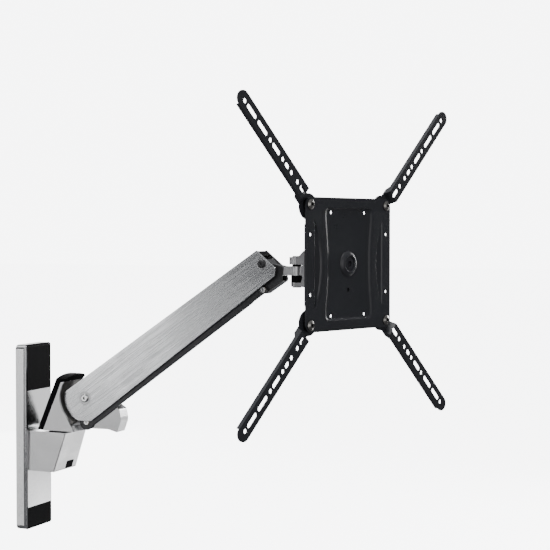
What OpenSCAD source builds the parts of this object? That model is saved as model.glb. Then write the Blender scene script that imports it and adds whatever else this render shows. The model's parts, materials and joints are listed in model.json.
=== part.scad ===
// Full motion TV wall mount: wall bracket, swivel base, counterbalanced
// parallelogram arm, panning and tilting head, VESA plate with four hole straps.
//
// Frame: the origin is the centre of the wall plate's back face.
// -Y points away from the wall, +Z is up, +X is to the right facing the wall.

/* [Wall bracket] */
// Width of the wall plate
wall_w = 90; // [86:1:100]
// Height of the wall plate
wall_h = 352; // [344:1:360]
// Depth of the wall plate
wall_d = 22.5; // [20:0.5:24]
// Wall thickness of the cast wall plate
wall_t = 4; // [3.5:0.5:5]
// Radius of a wall screw hole
wall_hole_r = 4.5; // [3.5:0.25:5]
// Width of the hub at its top
hub_w = 70; // [68:1:72]
// Distance from the wall to the swivel axis
swivel_fwd = 64; // [62:0.5:66]
// Radius of the swivel shaft
shaft_r = 10.5; // [9:0.5:11]

/* [Arm] */
// Distance from the wall to the shoulder pivot
shoulder_fwd = 139; // [138:0.5:140]
// Height of the shoulder pivot over the wall plate's centre
shoulder_up = 79; // [78:0.5:80]
// Length between the arm's two pivots
arm_len = 444; // [438:1:450]
// Angle of the arm above level at the top of its travel
lift_rest = 35; // [33:0.5:36]
// Height between the upper and the lower pivots
link_drop = 46; // [45:0.5:46]
// Half of the arm's width over its side panels
arm_half = 23; // [22.5:0.5:23.5]
// Thickness of a side panel
panel_t = 4; // [3.5:0.5:4.5]
// Radius of the arm pivot pins
pin_r = 6; // [5:0.25:6.5]

/* [Head] */
// Distance from the wall to the vertical pan axis
pan_fwd = 560.5; // [558:0.5:563]
// Height of the middle of the pan knuckle
pan_up = 321.5; // [320:0.5:323]
// Angle the head is panned to at rest
head_turn = -19.1; // [-25:0.1:0]
// Distance from the pan axis to the plate's front face
head_reach = 120; // [118:0.5:124]
// Height of the plate's centre
plate_up = 335.5; // [334:0.5:337]

/* [Plate and straps] */
// Width of the TV plate
plate_w = 223; // [221:1:226]
// Height of the TV plate
plate_h = 224; // [224:1:228]
// Thickness of the sheet the plate is pressed from
plate_t = 2.5; // [2:0.25:3]
// Half the distance between the corner bolts
corner_pitch = 100; // [100:1:100]
// Width of a hole strap
strap_w = 26; // [25:1:28]
// Length of a strap from its bolt to its tip
strap_len = 242; // [238:1:246]
// Radius of the round holes in the plate
hole_r = 3.1; // [2.75:0.05:3.25]
// Half width of the holes and slots in the straps
strap_hole_r = 4.1; // [3.5:0.1:4.25]

/* [Hidden] */
$fn = 64;

cast_alu = "#c2c3c5";
bright_alu = "#d6d7d9";
black_plastic = "#1b1b1c";
black_coat = "#232325";
dark_cast = "#4a4b4d";
steel = "#a9abad";
zinc = "#8e9092";
bronze = "#8f7a55";

half_w = hub_w / 2;
hub_foot_w = 75;
hub_top = 12.3;
hub_bottom = -63;
hub_top_fwd = 106;
hub_foot_fwd = 80.5;
hub_cover_t = 3;
hub_skin_t = 1.5;
shaft_foot = -54;
screw_z = -49;
base_bottom = 15.7;
run_gap = 0.05;
body_gap = 0.4;
arm_end_r = 45.5;
cheek_r = 48.3;
cheek_t = 4.5;
liner_r = 49.5;
tongue_half = 13.8;
link_half = 17.4;
link_t = 3;
bush_wall = 3;
link_pin_r = 4;
panel_mid = arm_half - panel_t / 2;
panel_in = arm_half - panel_t;
front_fwd = shoulder_fwd + arm_len * cos(lift_rest);
front_up = shoulder_up + arm_len * sin(lift_rest);
knuckle_r = 11;
knuckle_h = 16;
pan_pin_r = 5;
tilt_fwd = 58;
tilt_up = plate_up - pan_up;
tilt_pin_r = 5;
ear_t = 5;
flange_fwd = head_reach - 14.9;
roll_r = 9;
recess_half_w = 64;
recess_half_h = 95;
corner_bolt_r = 4;
strap_t = 2.5;
strap_back = 8;
strap_face = 3.5;
strap_head_r = 22;
strap_head_shift = 5;
strap_jog = 22;
strap_lip = 8;

// ---- Shared shapes ----

function unit(v) = v / norm(v);
function corner_arc(a, b, c, r, steps) =
    let (p = [b.x, b.y], u = unit([a.x, a.y] - p), v = unit([c.x, c.y] - p),
         half = acos(u * v) / 2, mid = p + unit(u + v) * r / sin(half),
         s = p + u * r / tan(half) - mid, e = p + v * r / tan(half) - mid,
         a0 = atan2(s.y, s.x), turn = (atan2(e.y, e.x) - a0 + 540) % 360 - 180)
    [for (i = [0:steps]) mid + r * [cos(a0 + turn * i / steps), sin(a0 + turn * i / steps)]];

// Outline from [x, y, radius] corners, each blended by an arc of its radius
arc_steps = 8;
function rounded(pts) =
    [for (i = [0:len(pts) - 1])
        let (p = pts[i], a = pts[(i + len(pts) - 1) % len(pts)], c = pts[(i + 1) % len(pts)])
        each (p.z > 0 ? corner_arc(a, p, c, p.z, arc_steps) : [[p.x, p.y]])];

// Rectangle with round corners, centred
module round_rect(w, h, r) {
    square([w - 2 * r, h], center = true);
    square([w, h - 2 * r], center = true);
    for (x = [-1, 1], y = [-1, 1]) translate([x * (w / 2 - r), y * (h / 2 - r)]) circle(r);
}

// Side-view outline, drawn as forward and up, spread along X
module side(w, x = 0) {
    translate([x, 0, 0]) rotate([90, 0, -90]) linear_extrude(w, center = true) children();
}

// Front-view outline, drawn as X and Z, from one distance forward to another
module front(fwd0, fwd1) {
    translate([0, -fwd0, 0]) rotate([90, 0, 0]) linear_extrude(fwd1 - fwd0) children();
}

// Rod along X, its middle at a place in side view; $fn = 6 makes it a hexagon
module x_rod(r, len, fwd = 0, up = 0, x = 0) {
    translate([x, -fwd, up]) rotate([0, 90, 0]) cylinder(r = r, h = len, center = true);
}

// Rod along -Y, starting at one distance forward; $fn = 6 makes it a hexagon
module y_rod(r, len, fwd, x = 0, up = 0) {
    translate([x, -fwd, up]) rotate([90, 0, 0]) cylinder(r = r, h = len);
}

// Rod along Z between two heights
module z_rod(r, bottom, top, fwd = 0) {
    translate([0, -fwd, bottom]) cylinder(r = r, h = top - bottom);
}

// The children, and their mirror image across X = 0
module both_sides() {
    children();
    mirror([1, 0, 0]) children();
}

// ---- Places ----

module at_shoulder() {
    translate([0, -shoulder_fwd, shoulder_up]) rotate([-lift_rest, 0, 0]) children();
}

module at_link() {
    translate([0, -shoulder_fwd, shoulder_up - link_drop]) rotate([-lift_rest, 0, 0]) children();
}

module at_front() {
    translate([0, -front_fwd, front_up]) children();
}

module at_pan() {
    translate([0, -pan_fwd, pan_up]) rotate([0, 0, head_turn]) children();
}

module at_plate() {
    at_pan() translate([0, -head_reach, tilt_up]) children();
}

// One copy at each corner bolt of the plate
module at_corners() {
    for (x = [-1, 1], z = [-1, 1]) translate([x * corner_pitch, 0, z * corner_pitch]) children();
}

// ---- Wall bracket ----

// Block with round corners in front view and rolled front edges
module soft_block(w, h, d, corner, edge, grow = 0) {
    intersection() {
        front(0, d + grow) round_rect(w + 2 * grow, h + 2 * grow, corner + grow);
        side(w + 2 * grow) front_roll(h + 2 * grow, d + grow, edge);
        linear_extrude(h + 2 * grow, center = true)
            rotate(90) mirror([1, 0, 0]) front_roll(w + 2 * grow, d + grow, edge);
    }
}

// Depth section: square at the back, two round corners at the front
module front_roll(span, d, edge) {
    translate([0, -span / 2]) square([d - edge, span]);
    translate([0, -span / 2 + edge]) square([d, span - 2 * edge]);
    for (s = [-1, 1]) translate([d - edge, s * (span / 2 - edge)]) circle(edge);
}

wall_corner_r = 9;
wall_edge_r = 6;
cover_half = 39.5;
cover_d = 3;
cover_proud = 0.8;
cover_gap = 0.2;
top_cover_z = 88.5;
bottom_cover_z = -134.5;
wall_hole_z = [-155, 108, 155];
hub_bolt_x = 30;
hub_bolt_z = [-50, -2];

module cover_zone(z0, z1, gap = 0) {
    translate([-cover_half - gap, -wall_d - 2, z0 - gap])
        cube([2 * (cover_half + gap), 2 + cover_d + gap, z1 - z0 + 2 * gap]);
}

module wall_plate() {
    color(cast_alu) difference() {
        soft_block(wall_w, wall_h, wall_d, wall_corner_r, wall_edge_r);
        for (z = [[-wall_h / 2 + 8, -80], [-66, 14], [24, wall_h / 2 - 8]])
            translate([-wall_w / 2 + wall_t + 1, -(wall_d - wall_t - cover_d - 1), z[0]])
                cube([wall_w - 2 * wall_t - 2, wall_d, z[1] - z[0]]);
        cover_zone(top_cover_z, wall_h, cover_gap);
        cover_zone(-wall_h, bottom_cover_z, cover_gap);
        for (z = wall_hole_z) y_rod(wall_hole_r, wall_d + 2, -1, 0, z);
        for (x = [-1, 1], z = hub_bolt_z) y_rod(4.2, wall_d + 2, -1, x * hub_bolt_x, z);
    }
}

// Snap-in cover over one end of the wall plate, with two blind pin holes behind it
module wall_cover(z0, z1) {
    middle = (max(z0, -wall_h / 2) + min(z1, wall_h / 2)) / 2;
    color(black_plastic) difference() {
        intersection() {
            soft_block(wall_w, wall_h, wall_d, wall_corner_r, wall_edge_r, cover_proud);
            cover_zone(z0, z1);
        }
        for (x = [-1, 1]) y_rod(1.5, 1.5, wall_d - cover_d, x * (cover_half - 8), middle);
    }
}

module top_cover() { wall_cover(top_cover_z, wall_h); }
module bottom_cover() { wall_cover(-wall_h, bottom_cover_z); }

// Side view of the hub
module hub_side(inset = 0) {
    polygon(rounded([[wall_d, hub_bottom, 0], [hub_foot_fwd - inset, hub_bottom, 4],
                     [hub_top_fwd - inset, hub_top, 0.8], [wall_d, hub_top, 0]]));
}

// Front view of the hub
module hub_front_taper() {
    polygon([[-hub_foot_w / 2, hub_bottom - 1], [hub_foot_w / 2, hub_bottom - 1],
             [half_w, hub_top + 1], [-half_w, hub_top + 1]]);
}

module plug_zone(gap = 0) {
    translate([10, -hub_foot_fwd - 2.5, hub_bottom + 9]) rotate([-20.7, 0, 0])
        translate([0, -6, 0]) cube([22 + 2 * gap, 18, 11 + 2 * gap], center = true);
}

module hub_housing() {
    color(cast_alu) difference() {
        intersection() {
            side(hub_foot_w) hub_side(hub_cover_t);
            front(wall_d - 1, hub_top_fwd + 1) hub_front_taper();
        }
        z_rod(shaft_r + bush_wall, shaft_foot - 1, hub_top + 1, swivel_fwd);
        for (x = [-26, 16]) translate([x, -46, -53]) cube([10, 24, 58]);
        y_rod(4, 12, swivel_fwd + shaft_r, 0, screw_z);
        for (x = [-1, 1], z = hub_bolt_z) y_rod(3, 14, wall_d - 0.5, x * hub_bolt_x, z);
    }
}

// Layer of the hub's sloping front, between two depths under its surface
module hub_layer(w, outer, inner) {
    difference() {
        side(w) hub_side(outer);
        side(w + 2) hub_side(inner);
    }
}

// Skin over the sloping front, held off the housing by a narrower pad that leaves a shadow gap
module hub_front_cover() {
    color(bright_alu) difference() {
        intersection() {
            union() {
                hub_layer(hub_foot_w, 0, hub_skin_t);
                hub_layer(hub_w - 6, hub_skin_t, hub_cover_t);
            }
            front(wall_d - 1, hub_top_fwd + 1) hub_front_taper();
            translate([-50, -hub_foot_fwd - 40, hub_bottom]) cube([100, 60, hub_top - hub_bottom]);
        }
        plug_zone(0.15);
    }
}

module hub_plug() {
    color(black_plastic) intersection() {
        difference() {
            side(hub_foot_w) translate([0.9, 0]) hub_side();
            side(hub_foot_w + 2) hub_side(hub_cover_t);
        }
        plug_zone();
    }
}

module hub_bolts() {
    color(zinc) for (x = [-1, 1], z = hub_bolt_z) {
        y_rod(3, wall_d - 1, 14.5, x * hub_bolt_x, z);
        y_rod(5, 5, 9.5, x * hub_bolt_x, z);
    }
}

module swivel_bushes() {
    color(bronze) for (z = [[shaft_foot - 0.8, -36], [-10, hub_top]]) difference() {
        z_rod(shaft_r + bush_wall, z[0], z[1], swivel_fwd);
        z_rod(shaft_r + run_gap, z[0] - 1, z[1] + 1, swivel_fwd);
    }
}

module friction_screw() {
    tip_fwd = swivel_fwd + shaft_r + bush_wall + 0.2;
    color(steel) difference() {
        y_rod(4, 3, tip_fwd, 0, screw_z);
        y_rod(2, 4, tip_fwd + 1.2, 0, screw_z, $fn = 6);
    }
}

// ---- Swivel base ----

cheek_top = 108.4;

module cheek_outline() {
    difference() {
        polygon([[54, base_bottom], [121.3, base_bottom], [103.6, 46], [120, 60],
                 [120, cheek_top], [94.5, cheek_top]]);
        translate([shoulder_fwd, shoulder_up]) circle(cheek_r, $fn = 128);
    }
}

module tongue_outline() {
    polygon(rounded([[98, base_bottom, 0], [126, base_bottom, 3], [132, 21, 6], [184, 21.5, 12],
                     [203, 16.5, 2], [212, 40, 25], [208, 60, 5], [180, 78, 12], [shoulder_fwd, 92, 0],
                     [125, 79, 6], [121, 42, 0], [98, 32, 0]]));
    translate([shoulder_fwd, shoulder_up]) circle(17);
}

module swivel_base() {
    color(cast_alu) difference() {
        union() {
            for (s = [-1, 1]) side(cheek_t, s * (half_w - cheek_t / 2)) cheek_outline();
            side(hub_w - 2 * cheek_t) difference() {
                cheek_outline();
                translate([shoulder_fwd, shoulder_up]) circle(liner_r + 6, $fn = 128);
            }
            side(2 * tongue_half) tongue_outline();
            translate([-half_w + cheek_t, -121, base_bottom]) cube([hub_w - 2 * cheek_t, 46, 10]);
        }
        z_rod(shaft_r, base_bottom - 1, 70, swivel_fwd);
        x_rod(pin_r, 80, shoulder_fwd, shoulder_up);
        x_rod(link_pin_r, 80, shoulder_fwd, shoulder_up - link_drop);
    }
}

module swivel_shaft() {
    color(steel) difference() {
        union() {
            z_rod(shaft_r, shaft_foot, 48, swivel_fwd);
            z_rod(16, hub_top + 0.6, base_bottom, swivel_fwd);
        }
        z_rod(3, 20, 47, swivel_fwd);
    }
}

module rear_cover() {
    lean = atan2(114.5 - base_bottom, 91.5 - 46.4);
    color(black_plastic) difference() {
        intersection() {
            side(hub_w) polygon(rounded([[42, base_bottom + 0.3, 2], [88, 124, 12], [110, 127, 2],
                                         [110, cheek_top + 0.1, 0], [93.9, cheek_top + 0.1, 0],
                                         [53.4, base_bottom + 0.3, 0]]));
            translate([0, -150, 41.5]) rotate([-90, 0, 0]) cylinder(r = 81, h = 150, $fn = 180);
            translate([0, -46.4, base_bottom]) rotate([lean, 0, 0])
                translate([0, -121, 0]) rotate([90, 0, 0]) translate([0, 0, -200])
                cylinder(r = 126, h = 400, $fn = 180);
        }
        x_rod(liner_r, 2 * hub_w, shoulder_fwd, shoulder_up);
        z_rod(shaft_r + 0.5, base_bottom - 1, 70, swivel_fwd);
    }
}

module shoulder_liner() {
    color(dark_cast) difference() {
        side(hub_w - 2 * cheek_t) difference() {
            intersection() {
                translate([shoulder_fwd, shoulder_up]) circle(liner_r + 5.9, $fn = 128);
                polygon([[65.6, 42], [109.5, 25.8], [120, 34], [122, 60], [109.6, cheek_top],
                         [94.6, cheek_top]]);
            }
            translate([shoulder_fwd, shoulder_up]) circle(liner_r, $fn = 128);
        }
        side(2 * tongue_half + 0.4) tongue_outline();
    }
}

module shoulder_pin() {
    color(steel) difference() {
        x_rod(pin_r, 2 * arm_half, shoulder_fwd, shoulder_up);
        for (s = [-1, 1]) x_rod(3, 14, shoulder_fwd, shoulder_up, s * (arm_half - 6));
    }
}

// Pair of button-head screws closing a pivot pin
module pivot_screws(fwd, up, head_r) {
    rim = 1.4;
    both_sides() translate([arm_half + body_gap, -fwd, up]) difference() {
        union() {
            x_rod(head_r, rim, 0, 0, rim / 2);
            translate([rim, 0, 0]) rotate([0, 90, 0])
                cylinder(r1 = head_r - 0.4, r2 = head_r - 2.2, h = 1.2);
            x_rod(3, 10, 0, 0, -5);
        }
        x_rod(3, 4, 0, 0, 2.6, $fn = 6);
    }
}

module shoulder_screws() { color(steel) pivot_screws(shoulder_fwd, shoulder_up, 8); }

// Pin of the lower link: one head over the link at -X, one against the block at +X
module link_pin(fwd, up, block_face) {
    color(steel) difference() {
        union() {
            x_rod(link_pin_r, link_half + block_face + 0.4, fwd, up, (block_face - link_half) / 2);
            x_rod(5.2, 0.9, fwd, up, -link_half - 0.65);
            x_rod(5.2, 1.6, fwd, up, block_face + 1);
        }
        x_rod(2, 1.6, fwd, up, -link_half - 0.9);
    }
}

module link_rear_pin() { link_pin(shoulder_fwd, shoulder_up - link_drop, tongue_half); }

// ---- Arm ----

module panel_outline() {
    intersection() {
        polygon(rounded([[-60, 33.6, 0], [arm_len + 5, 25.5, 1.5], [arm_len + 17.5, -21, 7],
                         [arm_len + 8, -31.5, 2], [-14, -42.4, 4], [-60, -10.7, 0]]));
        union() {
            circle(arm_end_r, $fn = 128);
            translate([0, -60]) square([arm_len + 60, 120]);
        }
    }
}

module side_panel() {
    color(bright_alu) at_shoulder() difference() {
        side(panel_t, -panel_mid) panel_outline();
        x_rod(pin_r + bush_wall, 100);
        x_rod(pin_r + bush_wall, 100, arm_len);
        x_rod(12, 2.4, 0, 0, -arm_half);
        x_rod(10, 2.4, arm_len, 0, -arm_half);
    }
}

module left_panel() { side_panel(); }
module right_panel() { mirror([1, 0, 0]) side_panel(); }

module arm_top_cover() {
    color(bright_alu) at_shoulder() side(2 * panel_in)
        polygon([[-10, 31.6], [arm_len + 2, 24.4], [arm_len + 2, 21.4], [-10, 28.6]]);
}

module arm_end_cap() {
    color(black_plastic) at_shoulder() side(2 * panel_in)
        polygon(rounded([[arm_len + 2.3, 24.3, 0], [arm_len + 5, 24.2, 1], [arm_len + 8.6, 12.6, 0],
                         [arm_len + 6.4, 12, 0], [arm_len + 2.3, 20, 0]]));
}

module pivot_bush(u, flange_r) {
    both_sides() difference() {
        union() {
            x_rod(pin_r + bush_wall, panel_t, u, 0, -panel_mid);
            x_rod(flange_r, 1.2, u, 0, -arm_half + 0.6);
        }
        x_rod(pin_r + run_gap, 20, u, 0, -panel_mid);
    }
}

module arm_bushes() {
    color(zinc) at_shoulder() {
        pivot_bush(0, 12);
        pivot_bush(arm_len, 10);
    }
}

spring_u0 = 128;
spring_u1 = 336;
spring_w = -2;
coil_r = 13;
wire_r = 2.2;
coil_turns = 15;

module at_spring(u) {
    at_shoulder() translate([0, -u, spring_w]) rotate([90, 0, 0]) children();
}

module spring_block() {
    color(dark_cast) at_shoulder() difference() {
        translate([-panel_in, -(spring_u1 + 24), spring_w - 17]) cube([2 * panel_in, 16, 34]);
        y_rod(5, 40, spring_u1, 0, spring_w);
    }
}

function coil_point(t) =
    let (a = 360 * coil_turns * t)
    [coil_r * cos(a), coil_r * sin(a), wire_r + (spring_u1 - spring_u0 - 2 * wire_r) * t];

module lift_spring() {
    sides = 6;
    steps = coil_turns * 12;
    rings = [for (i = [0:steps]) let (p = coil_point(i / steps), a = 360 * coil_turns * i / steps)
        for (j = [0:sides - 1]) let (b = 360 * j / sides)
            p + wire_r * (cos(b) * [cos(a), sin(a), 0] + sin(b) * [0, 0, 1])];
    walls = [for (i = [0:steps - 1], j = [0:sides - 1])
        let (k = (j + 1) % sides)
        each [[i * sides + j, (i + 1) * sides + j, (i + 1) * sides + k],
              [i * sides + j, (i + 1) * sides + k, i * sides + k]]];
    ends = [[for (j = [0:sides - 1]) j], [for (j = [sides - 1:-1:0]) steps * sides + j]];
    color(zinc) at_spring(spring_u0) polyhedron(rings, concat(walls, ends));
}

module spring_rod() {
    color(steel) at_shoulder() y_rod(5, 270, 106, 0, spring_w);
}

module spring_follower() {
    color(black_plastic) at_shoulder() difference() {
        y_rod(17.5, 7, spring_u0 - 7.2, 0, spring_w);
        y_rod(5, 10, spring_u0 - 8, 0, spring_w);
    }
}

module tension_nut() {
    color(zinc) at_shoulder() difference() {
        union() {
            y_rod(17.5, 3, spring_u1 + 0.2, 0, spring_w);
            y_rod(9, 7, spring_u0 - 14.5, 0, spring_w, $fn = 6);
        }
        y_rod(5, 260, 100, 0, spring_w);
    }
}

// ---- Lower link ----

link_web_u = 96;
link_web_end = 34;
link_rib_w = 12;
open_gap = 0.35;

module link_outline() {
    circle(15);
    polygon(rounded([[0, 9, 0], [arm_len, 7, 0], [arm_len + 6.5, 2, 3], [arm_len + 6.5, -5.5, 2],
                     [arm_len, -6.6, 0], [30, -12.5, 8], [4, -12, 0]]));
}

module lower_link() {
    color(black_coat) at_link() difference() {
        union() {
            side(link_t, -link_half + link_t / 2) link_outline();
            side(link_rib_w, -link_half + link_t / 2 + link_rib_w / 2)
                polygon([[link_web_u, -4], [arm_len - link_web_end, -1],
                         [arm_len - link_web_end, -5.6], [link_web_u, -9.4]]);
        }
        x_rod(link_pin_r + 1.5, 90);
        x_rod(link_pin_r + 1.5, 90, arm_len);
    }
}

// Running fit at the rear, opened at the front where the closed loop is let go
module link_bushes() {
    color(bronze) at_link() for (end = [[0, run_gap], [arm_len, open_gap]]) difference() {
        x_rod(link_pin_r + 1.5, link_t, end[0], 0, -link_half + link_t / 2);
        x_rod(link_pin_r + end[1], link_t + 2, end[0], 0, -link_half + link_t / 2);
    }
}

// ---- Front block ----

block_half = 12;
post_fwd = pan_fwd - front_fwd;
post_up = pan_up - front_up;

tension_up = -25.5;
tension_x = -5;
nose_fwd = 35.5;
spigot_r = 5;

module front_block() {
    color(dark_cast) at_front() difference() {
        side(2 * block_half)
            polygon(rounded([[-8, 8, 6], [4, 8.5, 5], [16, 0, 6], [nose_fwd, -4.5, 2], [nose_fwd, -30.5, 2],
                             [24, -38, 3], [10, -47.5, 5], [1, -53.5, 6], [-9, -52, 6], [-10, -30, 0]]));
        x_rod(pin_r, 90);
        x_rod(link_pin_r, 90, 0, -link_drop);
        y_rod(spigot_r, nose_fwd - 23, 24, 0, post_up);
        y_rod(3, nose_fwd - 19, 20, tension_x, tension_up);
    }
}

module front_pin() {
    color(steel) difference() {
        x_rod(pin_r, 2 * arm_half, front_fwd, front_up);
        for (s = [-1, 1]) x_rod(3, 14, front_fwd, front_up, s * (arm_half - 6));
    }
}

module front_screws() { color(dark_cast) pivot_screws(front_fwd, front_up, 7.5); }
module link_front_pin() { link_pin(front_fwd, front_up - link_drop, block_half); }

module pan_knuckle() {
    color(cast_alu) at_front() difference() {
        union() {
            z_rod(knuckle_r, post_up - knuckle_h / 2, post_up + knuckle_h / 2, post_fwd);
            translate([-10, -post_fwd, post_up - knuckle_h / 2]) cube([20, post_fwd - nose_fwd, knuckle_h]);
            y_rod(spigot_r, nose_fwd - 24, 24.5, 0, post_up);
        }
        z_rod(pan_pin_r + run_gap, post_up - 20, post_up + 20, post_fwd);
    }
}

module tension_screw() {
    color(black_plastic) at_front() difference() {
        union() {
            y_rod(3, 17, 20.5, tension_x, tension_up);
            y_rod(4.6, 6, nose_fwd + 0.1, tension_x, tension_up);
        }
        y_rod(2.5, 6, nose_fwd + 3.5, tension_x, tension_up, $fn = 6);
    }
}

// ---- Panning yoke, in head coordinates ----

yoke_half = 15;
web_fwd = 37;
web_back = web_fwd - 5;
web_front = web_fwd + 3;
lug_top = 24.4;
lug_under = 11.4;
foot_top = -20.4;
foot_under = -27.5;
yoke_top = 36;
yoke_bottom = -28.5;

// Two lugs around the knuckle, joined by a web that carries the ears of the tilt pivot
module pan_yoke() {
    color(cast_alu) at_pan() difference() {
        union() {
            z_rod(13.5, lug_under, lug_top);
            z_rod(10.5, foot_under, foot_top);
            side(2 * yoke_half - 7)
                polygon([[0, lug_under], [0, lug_top], [9, lug_top], [15, 27], [26, yoke_top],
                         [web_fwd, yoke_top], [web_fwd, 10], [22, 10], [20, lug_under]]);
            side(2 * yoke_half - 10)
                polygon([[0, foot_under], [12, foot_under], [web_fwd, yoke_bottom], [web_fwd, -10],
                         [22, -10], [18, foot_top], [0, foot_top]]);
            side(2 * yoke_half)
                polygon([[web_back, yoke_bottom], [web_front, yoke_bottom], [web_front, yoke_top],
                         [web_back, yoke_top]]);
            for (s = [-1, 1]) side(ear_t, s * (yoke_half + ear_t / 2 + 5)) ear_outline();
            side(2 * (yoke_half + 5 + ear_t))
                polygon([[web_fwd - 3, -10], [web_front, -10], [web_front, 34], [web_fwd - 3, 34]]);
        }
        z_rod(pan_pin_r, -30, 30);
        x_rod(tilt_pin_r, 90, tilt_fwd, tilt_up);
    }
}

module ear_outline() {
    polygon([[web_fwd - 3, -10], [50, tilt_up - 14], [tilt_fwd, tilt_up], [50, tilt_up + 14],
             [web_fwd - 3, 34]]);
    translate([tilt_fwd, tilt_up]) circle(15);
}

module pan_pin() {
    color(steel) at_pan() difference() {
        union() {
            z_rod(pan_pin_r, -29, lug_top + 2);
            z_rod(8, -29.6, foot_under);
            z_rod(8, lug_top, lug_top + 2);
        }
        z_rod(2.6, 23.6, 27.6, $fn = 6);
    }
}

module washer(r, hole, bottom, top) {
    difference() {
        z_rod(r, bottom, top);
        z_rod(hole, bottom - 1, top + 1);
    }
}

module pan_washers() {
    color(black_plastic) at_pan() {
        washer(8.5, pan_pin_r, knuckle_h / 2 + 0.3, lug_under);
        washer(10.5, pan_pin_r, foot_top, -knuckle_h / 2 - 0.3);
    }
}

// ---- Tilt bracket, in head coordinates ----

tilt_half = 19.6;
bracket_r = 54;

module tilt_bracket() {
    color(black_coat) at_pan() difference() {
        union() {
            for (s = [-1, 1]) side(5, s * (tilt_half - 2.5)) union() {
                translate([tilt_fwd, tilt_up]) circle(15);
                polygon([[tilt_fwd, tilt_up - 15], [flange_fwd + 1, tilt_up - 24],
                         [flange_fwd + 1, tilt_up + 24], [tilt_fwd, tilt_up + 15]]);
            }
            y_rod(bracket_r, 6, flange_fwd, 0, tilt_up);
        }
        x_rod(tilt_pin_r + run_gap, 90, tilt_fwd, tilt_up);
        y_rod(roll_r + 3, 20, flange_fwd - 2, 0, tilt_up);
    }
}

module tilt_pin() {
    color(steel) at_pan() difference() {
        union() {
            x_rod(tilt_pin_r, 66, tilt_fwd, tilt_up);
            x_rod(9, 5, tilt_fwd, tilt_up, -30.5);
        }
        x_rod(4, 4, tilt_fwd, tilt_up, -32, $fn = 6);
    }
}

module tilt_washers() {
    color(zinc) at_pan() for (x = [-26.6, 26.6]) difference() {
        x_rod(10, 2.8, tilt_fwd, tilt_up, x);
        x_rod(tilt_pin_r, 4, tilt_fwd, tilt_up, x);
    }
}

module tilt_nut() {
    color(zinc) at_pan() difference() {
        x_rod(9, 4.8, tilt_fwd, tilt_up, 30.4, $fn = 6);
        x_rod(tilt_pin_r, 12, tilt_fwd, tilt_up, 30);
    }
}

module roll_bush() {
    color(black_plastic) at_pan() difference() {
        union() {
            y_rod(roll_r + 3, 6, flange_fwd, 0, tilt_up);
            y_rod(38, 3, flange_fwd + 6, 0, tilt_up);
        }
        y_rod(roll_r + run_gap, 20, flange_fwd - 2, 0, tilt_up);
    }
}

// ---- TV plate, in plate coordinates: front face at forward 0 ----

recess_floor = 3;
plate_flange = 4;
bead_x = 81;
bead_depth = 2.2;
bead_back = 4.5;
bead_w = 20;
bead_arc_r = 154;
waist_in = 7;
waist_r = 480;

module plate_outline(grow = 0) {
    polygon(rounded([for (p = [[-1, -1], [1, -1], [1, 1], [-1, 1]])
        [p.x * (plate_w / 2 + grow), p.y * (plate_h / 2 + grow), 14 + grow]]));
}

module waist_outline(grow = 0) {
    difference() {
        round_rect(2 * (recess_half_w + grow), 2 * (recess_half_h + grow), 8);
        for (s = [-1, 1]) translate([s * (recess_half_w + waist_r + 1 - waist_in), 0])
            circle(waist_r - grow, $fn = 240);
    }
}

// D-shaped bead with its flat side outwards, for the side at +X
module bead_outline(grow = 0) {
    intersection() {
        translate([bead_arc_r - bead_w / 2, 0]) circle(bead_arc_r + grow, $fn = 180);
        translate([-bead_w, -90]) square([1.5 * bead_w + grow, 180]);
    }
}

module plate_holes(r) {
    for (x = [-1, 1], z = [-1, 1]) {
        translate([x * 100, z * 50]) circle(r);
        translate([x * 44, z * 87]) circle(r);
    }
}

module vesa_plate() {
    color(black_coat) at_plate() difference() {
        union() {
            front(-plate_t, 0) plate_outline();
            front(-plate_flange, -plate_t) difference() {
                intersection() {
                    plate_outline();
                    union() {
                        square([plate_w, 2 * corner_pitch - 66], center = true);
                        square([2 * corner_pitch - 66, plate_h], center = true);
                    }
                }
                plate_outline(-plate_t);
            }
            front(-recess_floor - plate_t, -plate_t) waist_outline(plate_t);
            both_sides() translate([bead_x, 0, 0]) front(-bead_back, -plate_t) bead_outline(2);
        }
        front(-recess_floor, 1) waist_outline();
        both_sides() translate([bead_x, 0, 0]) front(-bead_depth, 1) bead_outline();
        front(-20, 2) plate_holes(hole_r);
        at_corners() y_rod(corner_bolt_r, 20, -12);
        y_rod(roll_r, 40, -20);
        y_rod(3.5, 40, -20, 0, -44);
    }
}

module centre_ring() {
    color(black_coat) at_plate() rotate([90, 0, 0]) rotate_extrude($fn = 96)
        polygon([[roll_r, -recess_floor], [22, -recess_floor], [21, -1.4], [17, 1.4], [14, 2.2],
                 [12.6, 1.4], [12.6, -1.6], [roll_r, -1.6]]);
}

module roll_bolt() {
    color(black_coat) at_plate() difference() {
        union() {
            y_rod(roll_r, 19.7, -19.2);
            y_rod(12.2, 1.4, -1.5);
            y_rod(13.4, 4, -19.2);
        }
        y_rod(5.5, 6, -3.5);
    }
}

module corner_bolts() {
    rim = 1.5;
    color(zinc) at_plate() at_corners() difference() {
        union() {
            y_rod(corner_bolt_r, 15, -15);
            y_rod(8.5, rim, 0);
            translate([0, -rim, 0]) rotate([90, 0, 0]) cylinder(r1 = 8.3, r2 = 4.5, h = 2.4);
        }
        y_rod(2.6, 5, 2.2, $fn = 6);
    }
}

module corner_nuts() {
    color(zinc) at_plate() at_corners() difference() {
        y_rod(7.5, 3, -(strap_back + strap_t + 3.3), $fn = 6);
        y_rod(corner_bolt_r, 20, -18);
    }
}

module corner_spacers() {
    color(black_plastic) at_plate() at_corners() difference() {
        y_rod(10, strap_back - plate_t - 0.8, -strap_back + 0.4);
        y_rod(corner_bolt_r, 20, -18);
    }
}

// ---- Hole straps ----

strap_slots = [[27, 37], [84, 88], [114, 130], [156, 178], [191, 212]];
strap_holes = [50, 70.7, 100, 141.4, 223.6];

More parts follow.
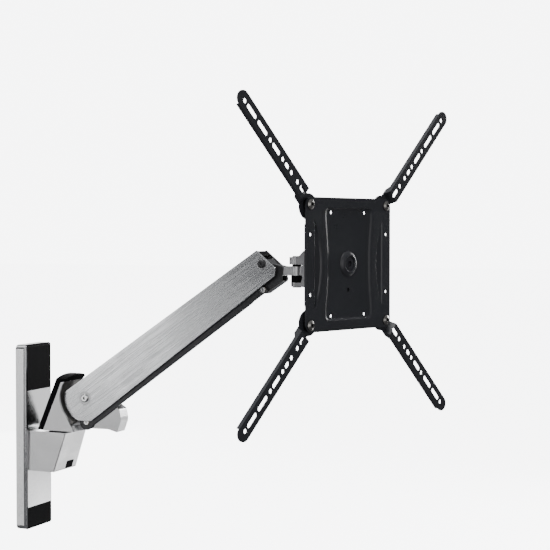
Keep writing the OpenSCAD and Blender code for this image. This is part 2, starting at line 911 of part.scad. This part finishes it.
module strap_hole_shapes() {
    for (d = strap_holes) translate([d, 0]) circle(strap_hole_r);
    for (s = strap_slots) {
        translate([(s[0] + s[1]) / 2, 0]) square([s[1] - s[0], 2 * strap_hole_r], center = true);
        for (e = s) translate([e, 0]) circle(strap_hole_r);
    }
}

// Top-view section of the joggled strap, as distance along and depth behind the plate's face
module strap_jog_outline() {
    polygon([[strap_jog - 4, strap_back], [strap_jog + 1.5, -strap_face], [strap_jog + 4.5, -strap_face],
             [strap_jog + 4.5, strap_t - strap_face], [strap_jog + 1.5, strap_t - strap_face],
             [strap_jog - 2.6, strap_back + strap_t], [strap_jog - 4, strap_back + strap_t]]);
}

module strap_lip_outline() {
    polygon([[strap_jog - 4, strap_back], [strap_jog + 1.5, -strap_face], [strap_len - 14, -strap_face],
             [strap_len - 14, strap_lip - strap_face], [strap_jog + 14, strap_lip - strap_face],
             [strap_jog + 6, strap_back + strap_t], [strap_jog - 4, strap_back + strap_t]]);
}

// Strap lying along +X from its bolt, its face towards -Y
module strap() {
    difference() {
        union() {
            front(-strap_back - strap_t, -strap_back) {
                translate([-strap_head_shift, 0]) circle(strap_head_r);
                translate([0, -strap_w / 2]) square([strap_jog - 2, strap_w]);
            }
            for (s = [-1, 1]) translate([0, 0, s * (strap_w / 2 - strap_t / 2)])
                linear_extrude(strap_t, center = true) strap_lip_outline();
            front(strap_face - strap_t, strap_face) {
                translate([strap_jog + 2, -strap_w / 2]) square([strap_len - strap_jog - 15, strap_w]);
                translate([strap_len - 13, 0]) circle(strap_w / 2);
            }
            linear_extrude(strap_w, center = true) strap_jog_outline();
        }
        y_rod(corner_bolt_r + run_gap, 40, -20);
        front(-strap_t - 1, strap_face + 1) strap_hole_shapes();
    }
}

// Strap from the corner on side x, z, pointing away from the plate's centre
module corner_strap(x, z) {
    color(black_coat) at_plate() translate([x * corner_pitch, 0, z * corner_pitch])
        rotate([0, -atan2(z, x), 0]) strap();
}

module strap_top_left() { corner_strap(-1, 1); }
module strap_top_right() { corner_strap(1, 1); }
module strap_bottom_left() { corner_strap(-1, -1); }
module strap_bottom_right() { corner_strap(1, -1); }

// ---- Assembly ----

wall_plate();
top_cover();
bottom_cover();
hub_housing();
hub_front_cover();
hub_plug();
hub_bolts();
swivel_bushes();
friction_screw();
swivel_base();
swivel_shaft();
rear_cover();
shoulder_liner();
shoulder_pin();
shoulder_screws();
link_rear_pin();
left_panel();
right_panel();
arm_top_cover();
arm_end_cap();
arm_bushes();
spring_block();
lift_spring();
spring_rod();
spring_follower();
tension_nut();
lower_link();
link_bushes();
front_block();
front_pin();
front_screws();
link_front_pin();
pan_knuckle();
tension_screw();
pan_yoke();
pan_pin();
pan_washers();
tilt_bracket();
tilt_pin();
tilt_washers();
tilt_nut();
roll_bush();
vesa_plate();
centre_ring();
roll_bolt();
corner_bolts();
corner_spacers();
corner_nuts();
strap_top_left();
strap_top_right();
strap_bottom_left();
strap_bottom_right();
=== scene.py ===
import json
import math

import bmesh
import bpy
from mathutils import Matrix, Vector


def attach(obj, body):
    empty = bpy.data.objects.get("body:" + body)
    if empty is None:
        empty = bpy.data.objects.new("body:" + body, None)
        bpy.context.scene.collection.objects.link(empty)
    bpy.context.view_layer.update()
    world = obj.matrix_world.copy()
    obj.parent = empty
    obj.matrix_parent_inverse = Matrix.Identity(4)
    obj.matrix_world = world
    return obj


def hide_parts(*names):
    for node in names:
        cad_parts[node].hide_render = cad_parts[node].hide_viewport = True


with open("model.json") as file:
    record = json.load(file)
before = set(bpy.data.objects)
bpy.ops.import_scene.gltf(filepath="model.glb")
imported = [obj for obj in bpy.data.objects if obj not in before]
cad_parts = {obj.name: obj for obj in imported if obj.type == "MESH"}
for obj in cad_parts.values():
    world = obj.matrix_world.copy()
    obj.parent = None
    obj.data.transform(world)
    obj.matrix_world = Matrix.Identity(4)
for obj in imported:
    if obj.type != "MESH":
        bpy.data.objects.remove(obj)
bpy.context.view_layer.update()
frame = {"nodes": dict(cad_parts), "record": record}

NODES = frame["nodes"]
SCENE = bpy.context.scene
MM = 0.001

# The arm: its pivot, its angle above level, and its own directions along and up
LIFT = math.radians(35)
SHOULDER = Vector((0, -139, 79)) * MM
ARM_DIR = Vector((0, -math.cos(LIFT), math.sin(LIFT)))
ARM_UP = Vector((0, math.sin(LIFT), math.cos(LIFT)))

# The plate: its turn about the pan pin, its own directions across and out, the pin's place at the
# height of the plate's middle, and that middle on the plate's face
TURN = math.radians(-19.1)
PLATE_X = Vector((math.cos(TURN), math.sin(TURN), 0))
PLATE_N = Vector((math.sin(TURN), -math.cos(TURN), 0))
PAN = Vector((0, -560.5, 335.5)) * MM
PLATE_OUT = 120 * MM
PLATE = PAN + PLATE_N * PLATE_OUT


# ---- Node tools ----

class Tree:
    """A material's nodes, with short ways to add and join them."""

    def __init__(self, name):
        self.mat = bpy.data.materials.new(name)
        self.mat.use_nodes = True
        self.tree = self.mat.node_tree
        self.tree.nodes.clear()
        self.out = self.add("ShaderNodeOutputMaterial")
        self.bsdf = self.add("ShaderNodeBsdfPrincipled")
        self.link(self.bsdf.outputs[0], self.out.inputs[0])
        self.coord = self.add("ShaderNodeTexCoord").outputs["Object"]

    def add(self, kind, **props):
        node = self.tree.nodes.new(kind)
        for key, value in props.items():
            setattr(node, key, value)
        return node

    def link(self, a, b):
        self.tree.links.new(a, b)

    def feed(self, socket, value):
        """Sets a socket to a number or a colour, or joins another socket to it."""
        if isinstance(value, (int, float)):
            socket.default_value = value
        elif isinstance(value, tuple):
            socket.default_value = (*value, 1)
        else:
            self.link(value, socket)

    def turned(self, rotation, scale):
        """Object coordinates turned, then stretched."""
        turn = self.add("ShaderNodeMapping")
        turn.inputs["Rotation"].default_value = rotation
        self.link(self.coord, turn.inputs["Vector"])
        grow = self.add("ShaderNodeMapping")
        grow.inputs["Scale"].default_value = scale
        self.link(turn.outputs[0], grow.inputs["Vector"])
        return grow.outputs[0]

    def noise(self, scale, detail=4, rough=0.55, vector=None):
        node = self.add("ShaderNodeTexNoise")
        node.inputs["Scale"].default_value = scale
        node.inputs["Detail"].default_value = detail
        node.inputs["Roughness"].default_value = rough
        self.link(self.coord if vector is None else vector, node.inputs["Vector"])
        return node.outputs["Fac"]

    def spread(self, value, low, high, to_low, to_high):
        """Maps low..high to to_low..to_high, and holds it there."""
        node = self.add("ShaderNodeMapRange")
        node.inputs["From Min"].default_value = low
        node.inputs["From Max"].default_value = high
        node.inputs["To Min"].default_value = to_low
        node.inputs["To Max"].default_value = to_high
        self.link(value, node.inputs["Value"])
        return node.outputs[0]

    def math(self, kind, a, b):
        node = self.add("ShaderNodeMath", operation=kind)
        self.feed(node.inputs[0], a)
        self.feed(node.inputs[1], b)
        return node.outputs[0]

    def mix(self, fac, a, b):
        """Colour a where fac is 0, colour b where it is 1."""
        node = self.add("ShaderNodeMix", data_type="RGBA")
        self.link(fac, node.inputs[0])
        self.feed(node.inputs[6], a)
        self.feed(node.inputs[7], b)
        return node.outputs[2]

    def edges(self, radius):
        """1 on convex and concave edges of the shape, 0 on its faces."""
        bevel = self.add("ShaderNodeBevel", samples=4)
        bevel.inputs["Radius"].default_value = radius
        flat = self.add("ShaderNodeNewGeometry")
        dot = self.add("ShaderNodeVectorMath", operation="DOT_PRODUCT")
        self.link(bevel.outputs[0], dot.inputs[0])
        self.link(flat.outputs["Normal"], dot.inputs[1])
        return self.spread(dot.outputs["Value"], 0.995, 0.86, 0, 1)

    def hollow(self, reach):
        """1 deep inside corners and sockets, 0 on open faces: the mask where shade is painted."""
        shut = self.add("ShaderNodeAmbientOcclusion", samples=4)
        shut.inputs["Distance"].default_value = reach
        return self.spread(shut.outputs["AO"], 0.5, 0.9, 1, 0)

    def bump(self, height, strength, distance, under=None):
        node = self.add("ShaderNodeBump")
        node.inputs["Strength"].default_value = strength
        node.inputs["Distance"].default_value = distance
        self.link(height, node.inputs["Height"])
        if under is not None:
            self.link(under, node.inputs["Normal"])
        return node.outputs[0]

    def set(self, **values):
        """Sets the shader's sockets by name, with _ for a space."""
        for key, value in values.items():
            self.feed(self.bsdf.inputs[key.replace("_", " ")], value)


# ---- Finishes ----

# Heights that the bumps stand for, in metres: soft waves, grain, drawn lines and plating
WAVES_HIGH = 0.4 * MM
GRAIN_HIGH = 0.15 * MM
LINES_HIGH = 0.05 * MM
PLATING_HIGH = 0.08 * MM
RUBBED_BRIGHT = (0.90, 0.90, 0.91)
# Painted shade: the near-black colour laid into the sockets and inside corners of plated steel
SOCKET_PAINTED_SHADE = (0.03, 0.03, 0.03)


def shade(colour, gain, most=1.0):
    """A colour made darker or lighter, with no channel above most."""
    return tuple(min(most, c * gain) for c in colour)


def grainy(name, base, worn, metallic, rough, grain, depth, wear=0.5, specular=0.5):
    """A finish with an even fine grain: castings, coats and moulded plastic."""
    t = Tree(name)
    cloud = t.noise(14, 5, 0.6)
    fine = t.noise(grain, 3, 0.6)
    speck = t.noise(grain * 0.31, 2, 0.5)
    body = t.mix(t.spread(cloud, 0.35, 0.68, 0, 1), shade(base, 0.86), base)
    body = t.mix(t.spread(fine, 0.42, 0.75, 0, 0.35), body, worn)
    patches = t.spread(t.noise(90, 4, 0.7), 0.35, 0.6, 0.15, wear)
    mask = t.math("MULTIPLY", t.edges(0.7 * MM), patches)
    body = t.mix(mask, body, worn)
    haze = t.spread(cloud, 0.3, 0.7, rough - 0.05, rough + 0.06)
    rub = t.math("MULTIPLY", mask, -0.10)
    rub = t.math("ADD", rub, t.spread(speck, 0.3, 0.7, -0.02, 0.03))
    t.set(Base_Color=body, Metallic=metallic, Roughness=t.math("ADD", haze, rub))
    t.set(Specular_IOR_Level=specular)
    low = t.bump(cloud, 0.12, WAVES_HIGH)
    t.set(Normal=t.bump(fine, depth, GRAIN_HIGH, low))
    return t.mat


def brushed(name, base, rotation, scale, rough, streak):
    """Metal drawn along one direction: long fine streaks in tone, gloss and height."""
    t = Tree(name)
    along = t.turned(rotation, scale)
    line = t.noise(1, 2.5, 0.6, along)
    broad = t.noise(0.12, 3, 0.6, along)
    cloud = t.noise(9, 4, 0.55)
    body = t.mix(t.spread(line, 0.34, 0.66, 0, 1), shade(base, 0.80), base)
    body = t.mix(t.spread(broad, 0.4, 0.62, 0, 0.22), body, shade(base, 1.12))
    patches = t.spread(t.noise(120, 3, 0.6), 0.3, 0.6, 0.2, 0.8)
    mask = t.math("MULTIPLY", t.edges(0.6 * MM), patches)
    body = t.mix(mask, body, RUBBED_BRIGHT)
    gloss = t.spread(line, 0.3, 0.7, rough - 0.07, rough + 0.09)
    cloudy = t.spread(cloud, 0.3, 0.7, -0.035, 0.045)
    t.set(Base_Color=body, Metallic=1.0, Roughness=t.math("ADD", gloss, cloudy))
    t.set(Anisotropic=0.35)
    low = t.bump(cloud, 0.06, WAVES_HIGH)
    t.set(Normal=t.bump(line, streak, LINES_HIGH, low))
    return t.mat


def plated(name, base, rough):
    """Turned and plated steel: fine mottling, softly worn edges, and painted shade that darkens its
    sockets.
    """
    t = Tree(name)
    cell = t.add("ShaderNodeTexVoronoi")
    cell.inputs["Scale"].default_value = 900
    t.link(t.coord, cell.inputs["Vector"])
    cloud = t.noise(60, 5, 0.65)
    body = t.mix(t.spread(cloud, 0.35, 0.65, 0, 1), shade(base, 0.72), base)
    mask = t.math("MULTIPLY", t.edges(0.4 * MM), t.spread(cloud, 0.3, 0.6, 0.3, 0.9))
    body = t.mix(mask, body, shade(base, 1.3, 0.9))
    # Painted shade: sockets and inside corners turn near black where the occlusion mask finds them enclosed
    body = t.mix(t.hollow(4 * MM), body, SOCKET_PAINTED_SHADE)
    gloss = t.spread(cloud, 0.3, 0.7, rough - 0.06, rough + 0.08)
    spangle = t.spread(cell.outputs["Distance"], 0, 0.8, -0.03, 0.03)
    t.set(Base_Color=body, Metallic=1.0, Roughness=t.math("ADD", gloss, spangle))
    t.set(Normal=t.bump(cloud, 0.12, PLATING_HIGH))
    return t.mat


MATS = {
    "cast_aluminium": grainy(
        "Cast aluminium", base=(0.58, 0.58, 0.585), worn=(0.72, 0.72, 0.73),
        metallic=1.0, rough=0.33, grain=900, depth=0.008, wear=0.45),
    "bright_aluminium": brushed(
        "Brushed arm aluminium", base=(0.56, 0.565, 0.575),
        rotation=(LIFT, 0, 0), scale=(600, 10, 600), rough=0.25, streak=0.025),
    "hub_aluminium": brushed(
        "Brushed hub aluminium", base=(0.66, 0.66, 0.665),
        rotation=(0, 0, 0), scale=(1300, 1300, 18), rough=0.30, streak=0.10),
    "satin_aluminium": grainy(
        "Satin aluminium", base=(0.50, 0.50, 0.51), worn=(0.72, 0.72, 0.73),
        metallic=1.0, rough=0.32, grain=900, depth=0.04),
    "polished_casting": grainy(
        "Polished casting", base=(0.58, 0.58, 0.585), worn=(0.74, 0.74, 0.75),
        metallic=1.0, rough=0.19, grain=700, depth=0.004),
    "grey_casting": grainy(
        "Grey casting", base=(0.17, 0.165, 0.16), worn=(0.34, 0.33, 0.32),
        metallic=0.8, rough=0.42, grain=1100, depth=0.2),
    "black_plastic": grainy(
        "Black satin plastic", base=(0.006, 0.006, 0.0065), worn=(0.02, 0.02, 0.022),
        metallic=0.0, rough=0.48, grain=2600, depth=0.10, wear=0.35, specular=0.02),
    "dark_casting": grainy(
        "Dark grey casting", base=(0.055, 0.055, 0.058), worn=(0.16, 0.16, 0.165),
        metallic=0.6, rough=0.34, grain=1300, depth=0.12, wear=0.6),
    "black_powder_coat": grainy(
        "Black powder coat", base=(0.024, 0.025, 0.030), worn=(0.052, 0.054, 0.061),
        metallic=0.0, rough=0.33, grain=1700, depth=0.16, wear=0.4),
    "bright_steel": plated("Bright turned steel", base=(0.80, 0.80, 0.80), rough=0.20),
    "zinc_plate": plated("Zinc plate", base=(0.46, 0.46, 0.465), rough=0.30),
    "dark_zinc": plated("Dark zinc plate", base=(0.30, 0.29, 0.275), rough=0.27),
    "bronze_bush": grainy(
        "Sintered bronze", base=(0.42, 0.30, 0.15), worn=(0.62, 0.48, 0.28),
        metallic=1.0, rough=0.42, grain=1900, depth=0.2),
}

# Nodes that look different from the rest of their material slot
FINISH = {
    "hub_front_cover": "hub_aluminium",
    "arm_bushes": "satin_aluminium",
    "corner_bolts": "dark_zinc",
    "shoulder_liner": "grey_casting",
    "wall_plate": "polished_casting",
}
SLOTS = {s["node"]: s["material_slot"] for s in frame["record"]["subparts"]}


# ---- Edges and smooth faces of the CAD nodes ----

# Width of the softened edge, in millimetres, where it isn't the plain one
PLAIN_EDGE = 0.35
EDGE = {
    "wall_plate": 0.8, "hub_housing": 1.5, "hub_front_cover": 1.4, "swivel_base": 0.9, "rear_cover": 0.8,
    "left_panel": 1.1, "right_panel": 1.1, "arm_top_cover": 0.5, "front_block": 1.2, "pan_knuckle": 1.0,
    "pan_yoke": 1.2, "vesa_plate": 0.5, "centre_ring": 0.4, "lower_link": 0.5, "tilt_bracket": 0.8,
    "lift_spring": 0, "top_cover": 0.5, "bottom_cover": 0.5,
}
EDGE_SEGMENTS = 3
EDGE_ANGLE = math.radians(28)
SPLIT_ANGLE = math.radians(32)
FLAT_ANGLE = math.radians(0.6)
NORMAL_WEIGHT = 60
WELD_GAP = 1e-6


def smooth(obj):
    """Smooth shading over curved faces, kept flat on flat ones and split at sharp edges."""
    for poly in obj.data.polygons:
        poly.use_smooth = True
    split = obj.modifiers.new("split", "EDGE_SPLIT")
    split.split_angle = SPLIT_ANGLE
    even = obj.modifiers.new("even", "WEIGHTED_NORMAL")
    even.keep_sharp = True
    even.weight = NORMAL_WEIGHT


def soften(obj, width):
    """Rounds the edges of a shape and smooths its curved faces."""
    weld = obj.modifiers.new("weld", "WELD")
    weld.merge_threshold = WELD_GAP
    flat = obj.modifiers.new("flat", "DECIMATE")
    flat.decimate_type = "DISSOLVE"
    flat.angle_limit = FLAT_ANGLE
    if width:
        edge = obj.modifiers.new("edge", "BEVEL")
        edge.width = width * MM
        edge.segments = EDGE_SEGMENTS
        edge.limit_method = "ANGLE"
        edge.angle_limit = EDGE_ANGLE
        edge.use_clamp_overlap = True
        edge.harden_normals = False
    smooth(obj)


def paint(obj, mat):
    obj.data.materials.clear()
    obj.data.materials.append(mat)


for name, obj in NODES.items():
    if obj.data.attributes.get("custom_normal"):
        obj.data.attributes.remove(obj.data.attributes["custom_normal"])
    paint(obj, MATS[FINISH.get(name, SLOTS[name])])
    soften(obj, EDGE.get(name, PLAIN_EDGE))


def new_piece(name, bm, slot):
    """Turns finished mesh data into an object of the scene, painted as its slot."""
    mesh = bpy.data.meshes.new(name)
    bm.to_mesh(mesh)
    bm.free()
    obj = bpy.data.objects.new(name, mesh)
    SCENE.collection.objects.link(obj)
    paint(obj, MATS[slot])
    smooth(obj)
    return obj


# ---- The plate's sheet, with its hollows drawn in on sloping walls ----

# The waisted hollow's half sizes and depth, and the two beads' place, half sizes and depth, in
# millimetres
RECESS_X, RECESS_Z, RECESS_DEEP = 64, 95, 3
BEAD_X, BEAD_HALF, BEAD_Z, BEAD_DEEP = 81, 10, 77, 2.2
# How far the waist's sides curve in, and how far off a point may lie
WAIST_IN, SLACK, TINY = 8.5, 0.1, 0.05
# Size of each floor against its opening, across and up
RECESS_DRAW = (0.875, 0.958)
BEAD_DRAW = (0.6, 0.9)
WALL_STEPS = 6
# A face is a wall where the cosine between its normal and the plate's own is below this
WALL_LEAN = 0.5
SHEET_FLAT = math.radians(0.5)


def on_plate(co):
    """Place on the plate in millimetres: across, up, and behind its face."""
    away = (co - PLATE) / MM
    return away.dot(PLATE_X), away.z, -away.dot(PLATE_N)


def near(a, b):
    return abs(a - b) < TINY


def on_waist(x, z):
    rim = abs(x) > RECESS_X - WAIST_IN or near(abs(z), RECESS_Z)
    return rim and abs(x) < RECESS_X + SLACK and abs(z) < RECESS_Z + SLACK


def on_bead(x, z):
    return abs(abs(x) - BEAD_X) < BEAD_HALF + SLACK and abs(z) < BEAD_Z


def draw_in(bm, lip, foot, deep, to):
    """Moves a wall's foot inwards, and gives the points of the curve down from its lip to it."""
    x, z, _ = on_plate(foot.co)
    foot.co += PLATE_X * (to[0] - x) * MM + Vector((0, 0, to[1] - z)) * MM
    column = [lip]
    for i in range(1, WALL_STEPS):
        t = i / WALL_STEPS
        down = t * t * (3 - 2 * t)
        flat = lip.co.lerp(foot.co + PLATE_N * deep * MM, t)
        column.append(bm.verts.new(flat - PLATE_N * deep * MM * down))
    return column + [foot]


def wall_columns(bm):
    """Lip vertex of each upright edge of the hollows, with the column of points down from it."""
    columns = {}
    for edge in list(bm.edges):
        lip, foot = sorted(edge.verts, key=lambda v: on_plate(v.co)[2])
        x, z, top = on_plate(lip.co)
        x1, z1, deep = on_plate(foot.co)
        if not (near(top, 0) and near(x, x1) and near(z, z1)):
            continue
        if near(deep, RECESS_DEEP) and on_waist(x, z):
            to = (x * RECESS_DRAW[0], z * RECESS_DRAW[1])
        elif near(deep, BEAD_DEEP) and on_bead(x, z):
            middle = math.copysign(BEAD_X, x)
            to = (middle + (x - middle) * BEAD_DRAW[0], z * BEAD_DRAW[1])
        else:
            continue
        columns[lip] = draw_in(bm, lip, foot, deep, to)
    return columns


def lay_walls(bm, columns):
    """Replaces each straight wall by strips between the columns on its two sides."""
    feet = {column[-1] for column in columns.values()}
    for face in list(bm.faces):
        tops = [v for v in face.verts if v in columns]
        on_wall = all(v in columns or v in feet for v in face.verts)
        if len(face.verts) != 4 or len(tops) != 2 or not on_wall:
            continue
        order = [loop.vert for loop in face.loops]
        a, b = tops
        if order[(order.index(a) + 1) % 4] is not b:
            a, b = b, a
        low, high = columns[a], columns[b]
        bm.faces.remove(face)
        for i in range(WALL_STEPS):
            bm.faces.new((low[i], high[i], high[i + 1], low[i + 1]))


def refill(bm, inside, deep):
    """Lays a hollow's floor again inside its moved rim and around its holes."""
    floor_faces = []
    for face in bm.faces:
        places = [on_plate(v.co) for v in face.verts]
        if all(near(p[2], deep) and inside(*p[:2]) for p in places):
            floor_faces.append(face)
    rim = []
    for face in floor_faces:
        rim += [e for e in face.edges if sum(g in floor_faces for g in e.link_faces) == 1]
    bmesh.ops.delete(bm, geom=floor_faces, context="FACES_KEEP_BOUNDARY")
    bmesh.ops.triangle_fill(bm, use_beauty=True, edges=rim, normal=PLATE_N)


def pressed_plate():
    """The CAD sheet with its hollows' walls drawn in and their floors laid again."""
    bm = bmesh.new()
    bm.from_mesh(NODES["vesa_plate"].data)
    bmesh.ops.remove_doubles(bm, verts=bm.verts, dist=WELD_GAP)
    upright = [e for e in bm.edges if all(abs(f.normal.dot(PLATE_N)) < WALL_LEAN for f in e.link_faces)]
    bmesh.ops.dissolve_limit(bm, angle_limit=SHEET_FLAT, verts=[], edges=upright)
    lay_walls(bm, wall_columns(bm))
    refill(bm, lambda x, z: abs(x) < RECESS_X, RECESS_DEEP)
    for side in (-1, 1):
        refill(bm, lambda x, z: abs(x - side * BEAD_X) < BEAD_HALF, BEAD_DEEP)
    bmesh.ops.delete(bm, geom=[e for e in bm.edges if not e.link_faces], context="EDGES")
    obj = new_piece("pressed_plate", bm, "black_powder_coat")
    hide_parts("vesa_plate")
    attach(obj, "plate")


pressed_plate()


# ---- Counterbalance spring ----

# Where it starts and ends along the arm, and how far it lies off the arm's middle line
SPRING_FROM, SPRING_TO, SPRING_UP = 128 * MM, 336 * MM, -2 * MM
COIL_R, WIRE_R, COIL_TURNS = 13 * MM, 2.2 * MM, 15
TURN_STEPS, WIRE_SIDES = 60, 14


def coil_spring():
    """Round wire wound evenly along the arm, with a flat cut at each end."""
    bm = bmesh.new()
    run = SPRING_TO - SPRING_FROM - 2 * WIRE_R
    hoops = []
    for i in range(TURN_STEPS * COIL_TURNS + 1):
        share = i / (TURN_STEPS * COIL_TURNS)
        a = 2 * math.pi * COIL_TURNS * share
        radial = Vector((math.cos(a), 0, 0)) + ARM_UP * math.sin(a)
        middle = SHOULDER + ARM_DIR * (SPRING_FROM + WIRE_R + run * share) + ARM_UP * SPRING_UP
        centre = middle + radial * COIL_R
        hoop = []
        for j in range(WIRE_SIDES):
            b = 2 * math.pi * j / WIRE_SIDES
            hoop.append(bm.verts.new(centre + (radial * math.cos(b) + ARM_DIR * math.sin(b)) * WIRE_R))
        hoops.append(hoop)
    for low, high in zip(hoops, hoops[1:]):
        for j in range(WIRE_SIDES):
            k = (j + 1) % WIRE_SIDES
            bm.faces.new((low[j], high[j], high[k], low[k]))
    bm.faces.new(hoops[0])
    bm.faces.new(reversed(hoops[-1]))
    bmesh.ops.recalc_face_normals(bm, faces=bm.faces)
    obj = new_piece("coil_spring", bm, "zinc_plate")
    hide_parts("lift_spring")
    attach(obj, "arm")


coil_spring()


# ---- Camera ----

# Its place in metres, how far it looks down and how far it is turned from +Y, in degrees, and its
# sensor and lens in millimetres
CAMERA_AT = (-2.2184, -1.4925, 0.3871)
CAMERA_DOWN, CAMERA_TURN = 1.736, -66.29
SENSOR, LENS = 36, 89.5
FARTHEST = 100

cam = bpy.data.objects.new("camera", bpy.data.cameras.new("camera"))
SCENE.collection.objects.link(cam)
SCENE.camera = cam
cam.location = CAMERA_AT
cam.rotation_euler = (math.radians(90 - CAMERA_DOWN), 0, math.radians(CAMERA_TURN))
cam.data.sensor_width = SENSOR
cam.data.lens = LENS
cam.data.clip_end = FARTHEST


# ---- Lamps ----

# Name, place, target, width and height in metres, and power in watts
LAMPS = (
    ("top", (-0.4, -0.7, 2.3), (0, -0.35, 0.1), (1.8, 1.8), 20),
    ("key", (-2.2, 1.02, 0.02), (0, -0.24, 0.15), (0.3, 0.5), 2.3),
    ("front", (-1.5, -2.6, 0.35), (0, -0.3, 0.1), (0.8, 1.7), 9),
    ("right", (2.2, -1.35, -0.1), (0, -0.1, 0), (0.7, 2.0), 7.5),
    ("side", (-2.2, 1.5, -0.4), (0, -0.02, 0), (0.5, 1.5), 3.6),
    ("low", (2.0, -0.95, -0.95), (0, -0.09, 0), (0.9, 0.9), 6),
    ("rim", (2.2, -1.3, 0.8), (0, -0.6, 0.33), (0.6, 1.1), 44),
    ("back", (2.0, 2.2, 0.7), (0, -0.2, 0.1), (2.2, 2.2), 34),
    ("fill", (-2.7, -1.5, 0.9), (0, -0.3, 0.1), (1.4, 1.6), 9),
    ("left", (-3.0, -0.75, 0.35), (0, -0.35, 0.2), (1.2, 1.6), 6),
)
SUN_POWER = 1.2
SUN_SPREAD = math.radians(50)
SUN_TILT = (math.radians(-14), math.radians(-10), 0)


def lamp(name, place, target, size, power):
    """A rectangular soft light that faces its target."""
    data = bpy.data.lights.new(name, "AREA")
    data.shape = "RECTANGLE"
    data.size, data.size_y = size
    data.energy = power
    obj = bpy.data.objects.new(name, data)
    obj.location = place
    obj.rotation_euler = (Vector(target) - obj.location).to_track_quat("-Z", "Y").to_euler()
    SCENE.collection.objects.link(obj)


for row in LAMPS:
    lamp(*row)
sun = bpy.data.objects.new("overhead", bpy.data.lights.new("overhead", "SUN"))
sun.data.energy = SUN_POWER
sun.data.angle = SUN_SPREAD
sun.rotation_euler = SUN_TILT
SCENE.collection.objects.link(sun)


# ---- Surroundings and floor ----

PALE = (0.985, 0.99, 1.0)
BACKDROP_STRENGTH, FLOOR_STRENGTH = 7.2, 6.3
# Light from the surroundings: its strength, and its colour with the height at which it is reached,
# where 0 is straight down and 1 straight up
GLOW_STRENGTH = 0.5
GLOW = ((0.5, (0.30, 0.305, 0.32)), (0.92, (0.85, 0.87, 0.9)))
FLOOR_SIZE, FLOOR_MIDDLE = 60, (0, -0.4, -0.46)


def surroundings():
    """A pale backdrop for the camera, and a glow that rises overhead for everything else."""
    world = bpy.data.worlds.new("studio")
    SCENE.world = world
    world.use_nodes = True
    nodes, links = world.node_tree.nodes, world.node_tree.links
    backdrop = nodes["Background"]
    backdrop.inputs["Color"].default_value = (*PALE, 1)
    backdrop.inputs["Strength"].default_value = BACKDROP_STRENGTH
    glow = nodes.new("ShaderNodeBackground")
    glow.inputs["Strength"].default_value = GLOW_STRENGTH
    grade = nodes.new("ShaderNodeValToRGB")
    for stop, (height, colour) in zip(grade.color_ramp.elements, GLOW):
        stop.position = height
        stop.color = (*colour, 1)
    where = nodes.new("ShaderNodeTexCoord")
    split = nodes.new("ShaderNodeSeparateXYZ")
    height = nodes.new("ShaderNodeMapRange")
    height.inputs["From Min"].default_value = -1
    links.new(where.outputs["Generated"], split.inputs[0])
    links.new(split.outputs["Z"], height.inputs["Value"])
    links.new(height.outputs[0], grade.inputs[0])
    links.new(grade.outputs[0], glow.inputs["Color"])
    ray = nodes.new("ShaderNodeLightPath")
    both = nodes.new("ShaderNodeMixShader")
    links.new(ray.outputs["Is Camera Ray"], both.inputs[0])
    links.new(glow.outputs[0], both.inputs[1])
    links.new(backdrop.outputs[0], both.inputs[2])
    links.new(both.outputs[0], nodes["World Output"].inputs[0])


def pale_floor():
    """A floor as bright as the backdrop, left out of reflections and bounced light."""
    bpy.ops.mesh.primitive_plane_add(size=FLOOR_SIZE, location=FLOOR_MIDDLE)
    floor = bpy.context.object
    floor.name = "floor"
    ground = Tree("Pale floor")
    ground.set(Base_Color=(0.80, 0.81, 0.83), Roughness=ground.spread(ground.noise(6), 0.3, 0.7, 0.55, 0.7))
    ground.set(Emission_Color=PALE, Emission_Strength=FLOOR_STRENGTH)
    paint(floor, ground.mat)
    floor.visible_diffuse = False
    floor.visible_glossy = False
    floor.visible_shadow = False


surroundings()
pale_floor()
